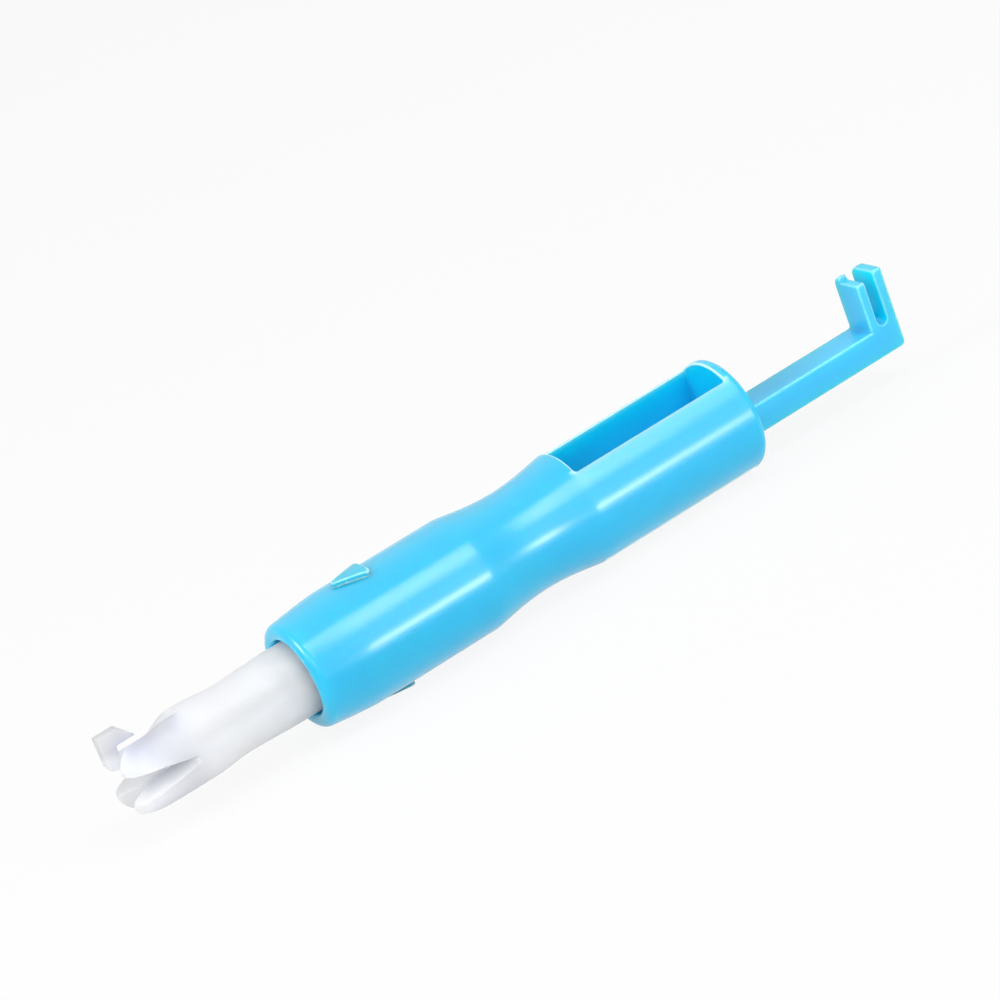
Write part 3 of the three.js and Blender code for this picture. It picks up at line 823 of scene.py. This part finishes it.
def mould_grain_effect():
    """Very fine grain of a polished mould, and the slow swell that shrinking plastic leaves."""
    group, given, out = effect("mould_grain", [("Grain", 0.5), ("Swell", 0.5)], [("Height", 0.0)])
    where = in_place(group)
    fine = times(group, noise(group, where, scale=7, detail=4), given["Grain"])
    slow = times(group, noise(group, where, scale=0.22, detail=1), given["Swell"])
    group.links.new(math_node(group, "ADD", fine, slow), out["Height"])
    return group


def colour_drift_effect():
    """Slow drift in a plastic's colour, with faint flow lines along the tool."""
    flow_stretch = (0.12, 1, 1)
    cloud_share, flow_share = 0.7, 0.3
    group, given, out = effect("colour_drift", [
        ("Color", (0.5, 0.5, 0.5, 1)), ("Deeper", (0.4, 0.4, 0.4, 1)), ("Amount", 0.3),
    ], [("Color", (0.5, 0.5, 0.5, 1))])
    cloud = noise(group, in_place(group), scale=0.16, detail=3, roughness=0.55)
    flow = noise(group, in_place(group, flow_stretch), scale=1.1, detail=2)
    both = math_node(group, "ADD", times(group, cloud, cloud_share), times(group, flow, flow_share))
    share = times(group, spread(group, both, low=0.35, high=0.65), given["Amount"])
    group.links.new(mixed(group, share, given["Color"], given["Deeper"]), out["Color"])
    return group


def painted_edge_highlight_effect():
    """A mask for painted highlights on sharp edges, and if wanted in tight corners, where plastic
    would catch the light.
    """
    flat = 0.5
    group, given, out = effect(
        "painted_edge_highlight", [("Start", 0.01), ("Full", 0.06), ("Corners", 0.0)], [("Mask", 0.0)])
    pointed = node(group, "ShaderNodeNewGeometry").outputs["Pointiness"]
    bend = math_node(group, "SUBTRACT", pointed, flat)
    hollow = times(group, bend, -1.0, given["Corners"])
    # Painted highlight on bent edges, and by the Corners share in hollow corners too, broken into
    # patches below
    edge = spread(group, math_node(group, "MAXIMUM", bend, hollow), given["Start"], given["Full"])
    patches = noise(group, in_place(group), scale=1.6, detail=2)
    broken = spread(group, patches, low=0.25, high=0.6, to_low=0.55, to_high=1)
    group.links.new(times(group, edge, broken), out["Mask"])
    return group


def handling_effect():
    """Where fingers have dulled the gloss, and hairline scratches mostly along the tool."""
    scratch_stretch = (0.06, 1, 1)
    group, given, out = effect(
        "handling", [("Dull", 0.5), ("Scratches", 0.5)], [("Dulling", 0.0), ("Scratch", 0.0)])
    touched = noise(group, in_place(group), scale=0.35, detail=4, roughness=0.6)
    smudge = spread(group, touched, low=0.42, high=0.68)
    group.links.new(times(group, smudge, given["Dull"]), out["Dulling"])
    lines = noise(group, in_place(group, scratch_stretch), scale=9, detail=1)
    hair = spread(group, lines, low=0.655, high=0.70)
    rubbed = noise(group, in_place(group), scale=0.5, detail=2)
    patch = spread(group, rubbed, low=0.5, high=0.62)
    group.links.new(times(group, hair, patch, given["Scratches"]), out["Scratch"])
    return group


MOULD_GRAIN = mould_grain_effect()
COLOUR_DRIFT = colour_drift_effect()
PAINTED_EDGE_HIGHLIGHT = painted_edge_highlight_effect()
HANDLING = handling_effect()


def placed(tree, group, **values):
    """A shared effect placed in a material, with its own values."""
    made = node(tree, "ShaderNodeGroup", node_tree=group)
    for label, value in values.items():
        made.inputs[label].default_value = value
    return made.outputs


def measured(tree):
    """A point's place along and across the tool, and its height."""
    where = node(tree, "ShaderNodeTexCoord").outputs["Object"]
    return node(tree, "ShaderNodeSeparateXYZ", [("Vector", where)]).outputs


def from_axis(tree, across, height):
    """A point's distance from the tool's axis."""
    squares = math_node(tree, "ADD", times(tree, across, across), times(tree, height, height))
    return math_node(tree, "SQRT", squares)


def from_middle(tree, along, middle):
    """How far a point lies before or behind a place along the tool."""
    apart = math_node(tree, "SUBTRACT", along, FRONT_X + middle * MM)
    return math_node(tree, "ABSOLUTE", apart)


def past_window_end(tree, along):
    half = WINDOW_LENGTH / 2
    apart = from_middle(tree, along, WINDOW_START + half)
    return math_node(tree, "SUBTRACT", apart, half * MM)


def window_wall_glow(tree):
    """The walls inside the window under a painted glow, a brighter, purer blue that grows from the
    window's floor towards the rim, in place of light coming through the thin wall.
    """
    wall_r, skin_r = GRIP_R - 0.5, GRIP_R - 0.3
    low_z, high_z, low_share = 2.4, 4.4, 0.35
    along, across, height = measured(tree)
    return times(
        tree, fade(tree, from_axis(tree, across, height), wall_r, skin_r, 1, 0),
        fade(tree, past_window_end(tree, along), 0.05, 0.2, 1, 0),
        fade(tree, height, low_z, high_z, low_share, 1))


def slot_wall_glow(tree):
    """The walls inside the arm's needle slot, where a painted glow, brighter and purer than the
    arm's blue, lifts the slot's shade.
    """
    half = NEEDLE_SLOT / 2
    highlight_start, edge_end = half + 0.02, half + 0.09
    along, across, height = measured(tree)
    aside = from_middle(tree, along, HEAD_START + FRONT_PRONG + half)
    return times(tree, fade(tree, height, SLOT_FLOOR_Z, SLOT_FLOOR_Z + 0.15),
                 fade(tree, aside, highlight_start, edge_end, 1, 0))


def in_notch(tree, depth, height):
    """The faces of the V notch, by their depth in front of its root: where painted light lifts the
    notch's shade.
    """
    root_half = 0.3
    opening = math_node(tree, "ADD", times(tree, depth, math.tan(NOTCH_HALF_ANGLE)), root_half * MM)
    past = math_node(tree, "SUBTRACT", math_node(tree, "ABSOLUTE", height), opening)
    return times(tree, fade(tree, past, 0.05, 0.3, 1, 0), fade(tree, depth, -0.3, 0.2))


def head_painted_light(tree):
    """Painted light and shade on the head's plastic: painted light most in the notch and near the
    mouth, where shade falls, and lighter towards the underside; painted shade on the thin upper jaw
    tips.
    """
    body_share, under_share, far_share = 0.52, 0.32, 0.4
    tip_start, tip_full = 1.0, 4.5
    mouth_start, mouth_full = -4.5, -0.3
    along, across, height = measured(tree)
    depth = math_node(tree, "SUBTRACT", FRONT_X + (TIP_X + NOTCH_DEPTH) * MM, along)
    # Painted shade on the thin upper jaw tips, most on the near one
    thin = times(tree, fade(tree, depth, tip_start, tip_full), fade(tree, height, 0.3, 1.6),
                 fade(tree, across, -0.6, 0.4, 1, far_share))
    # Painted light over the body of the head, taken back on the tips
    body = times(tree, math_node(tree, "SUBTRACT", 1, thin), body_share)
    # Painted light, lighter towards the underside
    under = fade(tree, height, -2.0, 0.6, under_share, 0)
    # Painted light near the grip's mouth, where shade falls
    mouth = spread(tree, along, FRONT_X + mouth_start * MM, FRONT_X + mouth_full * MM)
    # Painted light in full over the notch's shade
    lightest = math_node(tree, "MAXIMUM", mouth, in_notch(tree, depth, height))
    return math_node(tree, "MAXIMUM", math_node(tree, "ADD", body, under), lightest)


def window_rim_highlight_and_glow(tree):
    """Painted light on the grip: a painted highlight line along the window's rounded rim, and a
    painted glow up the window's side walls and over the rim, where the wall thins out.
    """
    line_width, line_end = 0.13, 0.21
    glow_z, rim_z, glow_power = 4.0, 4.95, 2.5
    along, across, height = measured(tree)
    past_end = past_window_end(tree, along)
    side = math_node(tree, "ABSOLUTE", across)
    past_side = math_node(tree, "SUBTRACT", side, WINDOW_WIDTH / 2 * MM)
    outside = math_node(tree, "MAXIMUM", past_end, past_side)
    near_skin = fade(tree, from_axis(tree, across, height), GRIP_R - 0.25, GRIP_R - 0.15)
    # Painted highlight: a thin light line along the rim's rounding
    edge = times(tree, fade(tree, outside, line_width, line_end, 1, 0), near_skin)
    # Painted glow: lighter up the side walls towards the rim
    rise = spread(tree, height, glow_z * MM, rim_z * MM, interpolation="LINEAR")
    glow = times(tree, math_node(tree, "POWER", rise, glow_power),
                 fade(tree, side, 3.2, 3.45), fade(tree, past_end, 0, 0.8, 1, 0))
    return math_node(tree, "MAXIMUM", edge, glow)


def finish(name, colour, deeper, edge, *, steady, drift, roughness, dull, grain, swell, scratches,
           bump, painted_share=0.5, highlight_start=0.01, highlight_full=0.06, corners=0.0, light=None,
           hollow=None, painted_glow_colour=None):
    """A finish: its colours, its gloss, its relief, and what is steady on the shader's sockets.

    The edge colour is painted light: a painted highlight on sharp edges, and in hollow corners when
    corners asks for it, or else whatever painted light the light mask says. The painted glow colour
    goes where the hollow mask says, lifting shaded walls.
    """
    material = bpy.data.materials.new(name)
    material.use_nodes = True
    tree = material.node_tree
    shader = tree.nodes["Principled BSDF"]
    for socket, value in steady.items():
        shader.inputs[socket].default_value = value
    base = placed(tree, COLOUR_DRIFT, Color=colour, Deeper=deeper, Amount=drift)["Color"]
    # Painted glow over shaded walls, where the hollow mask says
    if hollow:
        base = mixed(tree, hollow(tree), base, painted_glow_colour)
    if light:
        mask = light(tree)
    else:
        mask = placed(tree, PAINTED_EDGE_HIGHLIGHT, Start=highlight_start, Full=highlight_full, Corners=corners)["Mask"]
    # Painted light: the mask's share of the edge colour laid over the base colour
    share = times(tree, mask, painted_share)
    tree.links.new(mixed(tree, share, base, edge), shader.inputs["Base Color"])
    wear = placed(tree, HANDLING, Dull=dull, Scratches=scratches)
    rough = math_node(tree, "ADD", wear["Dulling"], roughness)
    rough = math_node(tree, "ADD", rough, times(tree, wear["Scratch"], SCRATCH_ROUGHNESS))
    tree.links.new(rough, shader.inputs["Roughness"])
    relief = placed(tree, MOULD_GRAIN, Grain=grain, Swell=swell)["Height"]
    height = math_node(tree, "SUBTRACT", relief, times(tree, wear["Scratch"], SCRATCH_DEPTH))
    raised = node(
        tree, "ShaderNodeBump", [("Height", height), ("Strength", 1.0), ("Distance", bump)])
    tree.links.new(raised.outputs["Normal"], shader.inputs["Normal"])
    return material


def seen_directly(tree):
    """1 for rays from the camera and for rays that gloss or clear material sends on."""
    rays = node(tree, "ShaderNodeLightPath").outputs
    seen = math_node(tree, "MAXIMUM", rays["Is Camera Ray"], rays["Is Glossy Ray"])
    return math_node(tree, "MAXIMUM", seen, rays["Is Transmission Ray"])


def stage_floor():
    """A pale floor that reads as white from the camera and keeps the tool's soft shadow."""
    material = bpy.data.materials.new("pale_floor")
    material.use_nodes = True
    tree = material.node_tree
    shader = tree.nodes["Principled BSDF"]
    shader.inputs["Roughness"].default_value = FLOOR_ROUGHNESS
    shader.inputs["Specular IOR Level"].default_value = FLOOR_SPECULAR
    where = node(tree, "ShaderNodeTexCoord").outputs["Object"]
    paper = noise(tree, where, scale=900)
    tree.links.new(mixed(tree, paper, FLOOR_PALE, FLOOR_PALER), shader.inputs["Base Color"])
    glow = node(tree, "ShaderNodeEmission", [("Color", (1, 1, 1, 1)), ("Strength", 1.0)])
    share = times(tree, seen_directly(tree), FLOOR_LIFT)
    both = node(
        tree, "ShaderNodeMixShader", [(0, share), (1, shader.outputs[0]), (2, glow.outputs[0])])
    tree.links.new(both.outputs[0], tree.nodes["Material Output"].inputs["Surface"])

    mesh = bpy.data.meshes.new("floor")
    z = -(GRIP_R + MARK_HEIGHT) * MM
    corners = ((-1, -1), (1, -1), (1, 1), (-1, 1))
    mesh.from_pydata([(FLOOR_HALF * a, FLOOR_HALF * b, z) for a, b in corners], [], [range(4)])
    mesh.materials.append(material)
    floor = shown("floor", mesh)


def stage_world():
    """Soft light from all round; seen directly or in gloss, the surroundings are white."""
    world = bpy.data.worlds.new("white_room")
    world.use_nodes = True
    bpy.context.scene.world = world
    tree = world.node_tree
    seen = seen_directly(tree)
    strength = spread(tree, seen, 0, 1, ROOM_LIGHT, 1.0, interpolation="LINEAR")
    background = tree.nodes["Background"]
    background.inputs["Color"].default_value = (1, 1, 1, 1)
    tree.links.new(strength, background.inputs["Strength"])


def area_lamp(name, length, width, radiance, matrix):
    """A rectangular lamp of this radiance, which shines down its own Z axis."""
    data = bpy.data.lights.new(name, "AREA")
    data.shape = "RECTANGLE"
    data.size = length
    data.size_y = width
    data.energy = radiance * math.pi * length * width
    shown(name, data).matrix_world = matrix


def soft_lamp(name, *, lean, reach, x, length, width, radiance):
    """A lamp that faces the tool and leans forwards from straight above it by some degrees."""
    area_lamp(name, length, width, radiance,
              Matrix.Translation((x, 0, 0)) @ Matrix.Rotation(math.radians(lean), 4, "X")
              @ Matrix.Translation((0, 0, reach)))


def end_lamp(name, *, place, length, width, radiance):
    """A lamp at a place of its own, facing the middle of the tool."""
    facing = Vector(place).to_track_quat("Z", "Y").to_matrix().to_4x4()
    area_lamp(name, length, width, radiance, Matrix.Translation(place) @ facing)


def stage_camera():
    data = bpy.data.cameras.new("camera")
    data.lens = CAMERA_LENS
    data.sensor_width = CAMERA_SENSOR
    turn = (Matrix.Rotation(-CAMERA_HEADING, 4, "Z")
            @ Matrix.Rotation(math.pi / 2 - CAMERA_DOWN, 4, "X")
            @ Matrix.Rotation(CAMERA_ROLL, 4, "Z"))
    back = turn.to_3x3() @ Vector((0, 0, 1))
    camera = shown("camera", data)
    camera.matrix_world = Matrix.Translation(CAMERA_AIM + back * CAMERA_DISTANCE) @ turn
    bpy.context.scene.camera = camera


# Stage: lamps in metres, from a point below or above the tool's middle
stage_camera()
stage_floor()
stage_world()
soft_lamp("top_softbox", lean=33, reach=0.40, x=0.12, length=0.18, width=0.19, radiance=6.5)
soft_lamp("rear_softbox", lean=-28, reach=0.45, x=0.15, length=0.60, width=0.56, radiance=0.4)
soft_lamp("front_softbox", lean=63, reach=0.40, x=0.13, length=0.22, width=0.18, radiance=1.3)
soft_lamp("front_strip", lean=88.4, reach=0.40, x=0.155, length=0.13, width=0.049, radiance=34.0)
end_lamp("top_spot", place=(-0.05, -0.155, 0.37), length=0.09, width=0.05, radiance=20.0)
end_lamp("end_softbox", place=(-0.36, 0.02, 0.24), length=0.17, width=0.13, radiance=14.0)
end_lamp("tip_softbox", place=(-0.24, -0.27, 0.20), length=0.26, width=0.18, radiance=2.2)

# Finishes
BLUE = (0.006, 0.445, 0.72, 1)
DEEPER_BLUE = (0.004, 0.415, 0.685, 1)
# Painted highlight colour for the sharp edges of the marks and the arm
HIGHLIGHT_BLUE = (0.34, 0.84, 0.95, 1)
GLOSS = {
    "IOR": 1.49, "Specular IOR Level": 0.05,
    "Coat Weight": 1.0, "Coat Roughness": 0.27, "Coat IOR": 1.55,
}
BLUE_GLOW = {
    "Subsurface Weight": 0.8, "Subsurface Radius": (0.4, 1.0, 1.0), "Subsurface Scale": 0.0035,
}
GRIP_WEAR = {
    "drift": 0.5, "roughness": 0.45, "dull": 0.08, "grain": 0.5, "swell": 0.8, "scratches": 0.5,
    "bump": 0.00003,
}
# The third colour is painted light: a painted highlight along the window's rim and a painted glow
# up its walls; the last colour is a painted glow inside the window
grip_blue = finish(
    "grip_blue", BLUE, DEEPER_BLUE, (0.46, 0.90, 0.98, 1), steady={**GLOSS, **BLUE_GLOW},
    **GRIP_WEAR, painted_share=1.0, light=window_rim_highlight_and_glow,
    hollow=window_wall_glow, painted_glow_colour=(0.002, 0.54, 0.84, 1))
# Painted highlights on the marks' sharp edges and in the corners at their foot
mark_blue = finish(
    "mark_blue", BLUE, DEEPER_BLUE, HIGHLIGHT_BLUE, steady={**GLOSS, **BLUE_GLOW},
    **GRIP_WEAR, painted_share=0.9, highlight_start=0.004, highlight_full=0.025, corners=1.0)
# Painted highlights on the arm's sharp edges, and a painted glow inside the needle slot
arm_blue = finish(
    "arm_blue", (0.055, 0.465, 0.75, 1), (0.04, 0.435, 0.715, 1), HIGHLIGHT_BLUE,
    steady={**GLOSS, **BLUE_GLOW, "Coat Weight": 0.5,
            "Subsurface Weight": 1.0, "Subsurface Scale": 0.005},
    drift=0.5, roughness=0.42, dull=0.08, grain=0.5, swell=0.5, scratches=0.5, bump=0.00003,
    painted_share=0.6, highlight_start=0.008, highlight_full=0.035,
    hollow=slot_wall_glow, painted_glow_colour=(0.004, 0.60, 0.96, 1))
# The first two colours are the painted shade on the thin jaw tips; the third is painted light, laid
# on in the notch, near the mouth, underneath and over most of the head
milky_plastic = finish(
    "milky_plastic", (0.62, 0.665, 0.91, 1), (0.60, 0.64, 0.885, 1), (0.92, 0.945, 1.0, 1),
    steady={"IOR": 1.46, "Specular IOR Level": 0.3, "Subsurface Weight": 1.0,
            "Subsurface Radius": (1.0, 1.0, 1.0), "Subsurface Scale": 0.024},
    drift=0.4, roughness=0.45, dull=0.08, grain=0.4, swell=0.3, scratches=0.3, bump=0.00002,
    painted_share=1.0, light=head_painted_light)
# The holder and the wire carry painted highlights on their sharp edges, in their third colour
holder_white = finish(
    "holder_white", (0.78, 0.79, 0.81, 1), (0.73, 0.745, 0.77, 1), (0.86, 0.87, 0.89, 1),
    steady={"IOR": 1.5},
    drift=0.5, roughness=0.5, dull=0.08, grain=0.8, swell=0.3, scratches=0.3, bump=0.00002)
drawn_wire = finish(
    "drawn_wire", (0.56, 0.57, 0.59, 1), (0.46, 0.47, 0.49, 1), (0.7, 0.71, 0.73, 1),
    steady={"Metallic": 1.0},
    drift=0.6, roughness=0.24, dull=0.12, grain=0.6, swell=0.1, scratches=1.0, bump=0.000008)

# Pieces
piece("grip_shell", grip_shell(), "grip", grip_blue, node="grip")
piece("arrow_mark_top", arrow_mark(1), "grip", mark_blue)
piece("arrow_mark_under", arrow_mark(-1), "grip", mark_blue)
piece("slotted_arm", needle_arm(), "grip", arm_blue, SOFTENED_ANGLE,
      node="needle_arm")
piece("forked_head", threader_head(), "threader_head", milky_plastic,
      SOFTENED_ANGLE, node="threader_head")
piece("threading_pin", pusher_pin(), "grip", drawn_wire, node="pusher_pin")
piece("turned_holder", pin_holder(), "grip", holder_white, node="pin_holder")
spring = piece("coiled_spring", return_spring(), "grip", drawn_wire,
               node="return_spring")
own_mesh(spring)

view = bpy.context.scene.view_settings
view.view_transform = "Standard"
